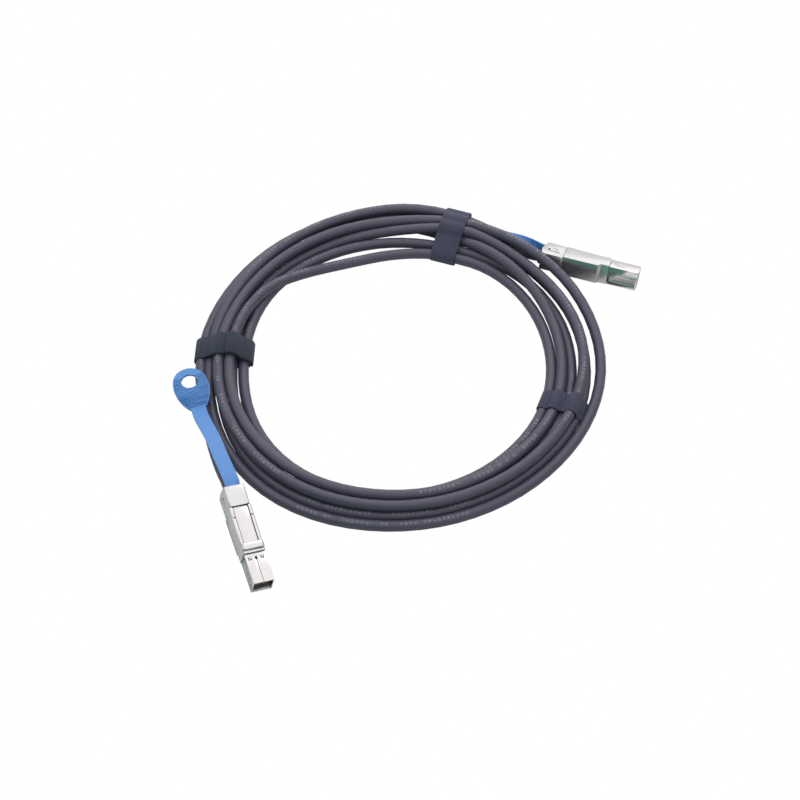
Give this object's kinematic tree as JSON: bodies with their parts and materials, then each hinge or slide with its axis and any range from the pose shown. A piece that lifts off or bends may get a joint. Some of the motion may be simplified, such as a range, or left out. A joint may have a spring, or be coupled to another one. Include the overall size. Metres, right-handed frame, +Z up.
{
  "type": "external data cable with latching plugs",
  "caption": "Coiled external data cable tied with fabric straps, with a latching metal plug and a flexible pull tab on each end.",
  "frame": {"origin": "bottom centre of the box round the plugs, tabs and straps, on the plane that the cable lies on", "axes": "+Z up from that plane, +X to the right and +Y away from the viewer as the picture shows it"},
  "size_m": [0.2714, 0.2706, 0.0216],
  "materials": {
    "jacket": "soft matte cable jacket",
    "strap": "woven hook and loop tape",
    "cast_shell": "nickel-plated casting, satin",
    "stamped_sheet": "nickel-plated sheet, bright satin",
    "spring_steel": "plain spring sheet",
    "tab": "smooth moulded flexible tab",
    "board": "printed board with gold contact fingers",
    "moulding": "black moulding",
    "wires": "foil-wrapped pairs",
    "ferrule": "crimped ring",
    "screw": "small machine screw"
  },
  "bodies": {
    "root": {"near_rear_hood": "cast_shell", "near_front_shell": "cast_shell", "near_nose_shell": "stamped_sheet", "near_keeper_bar": "cast_shell", "near_card_upper": "board", "near_card_lower": "board", "near_card_carrier": "moulding", "near_wire_fan": "wires", "near_crimp_ferrule": "ferrule", "near_grommet": "moulding", "near_shell_screw": "screw", "far_rear_hood": "cast_shell", "far_front_shell": "cast_shell", "far_nose_shell": "stamped_sheet", "far_keeper_bar": "cast_shell", "far_card_upper": "board", "far_card_lower": "board", "far_card_carrier": "moulding", "far_wire_fan": "wires", "far_crimp_ferrule": "ferrule", "far_grommet": "moulding", "far_shell_screw": "screw", "coil": "jacket", "near_tail": "jacket", "far_tail": "jacket", "left_strap": "strap", "top_strap": "strap", "right_strap": "strap"},
    "near_release": {"near_release_slider": "stamped_sheet", "near_pull_tab": "tab"},
    "near_latch_arm": {"near_latch_spring": "spring_steel"},
    "far_release": {"far_release_slider": "stamped_sheet", "far_pull_tab": "tab"},
    "far_latch_arm": {"far_latch_spring": "spring_steel"}
  },
  "joints": [
    {"name": "near_pull", "type": "slide", "parent": "root", "child": "near_release", "axis": [-0.3154, 0.9341, 0.1671], "range_m": [0, 0.0025], "stiffness_N_per_m": 900},
    {"name": "near_latch", "type": "hinge", "parent": "root", "child": "near_latch_arm", "pos_m": [-0.08966, -0.10277, 0.0124], "axis": [0.9199, 0.3442, -0.1881], "range_deg": [0, 2.5]},
    {"name": "far_pull", "type": "slide", "parent": "root", "child": "far_release", "axis": [-0.9305, 0.3652, -0.0287], "range_m": [0, 0.0025], "stiffness_N_per_m": 900},
    {"name": "far_latch", "type": "hinge", "parent": "root", "child": "far_latch_arm", "pos_m": [0.10349, 0.08577, 0.00756], "axis": [-0.1299, -0.4022, -0.9063], "range_deg": [0, 2.5]}
  ],
  "couplings": [
    {"joint": "near_latch", "follows": "near_pull", "rad_per_m": 17.4},
    {"joint": "far_latch", "follows": "far_pull", "rad_per_m": 17.4}
  ]
}
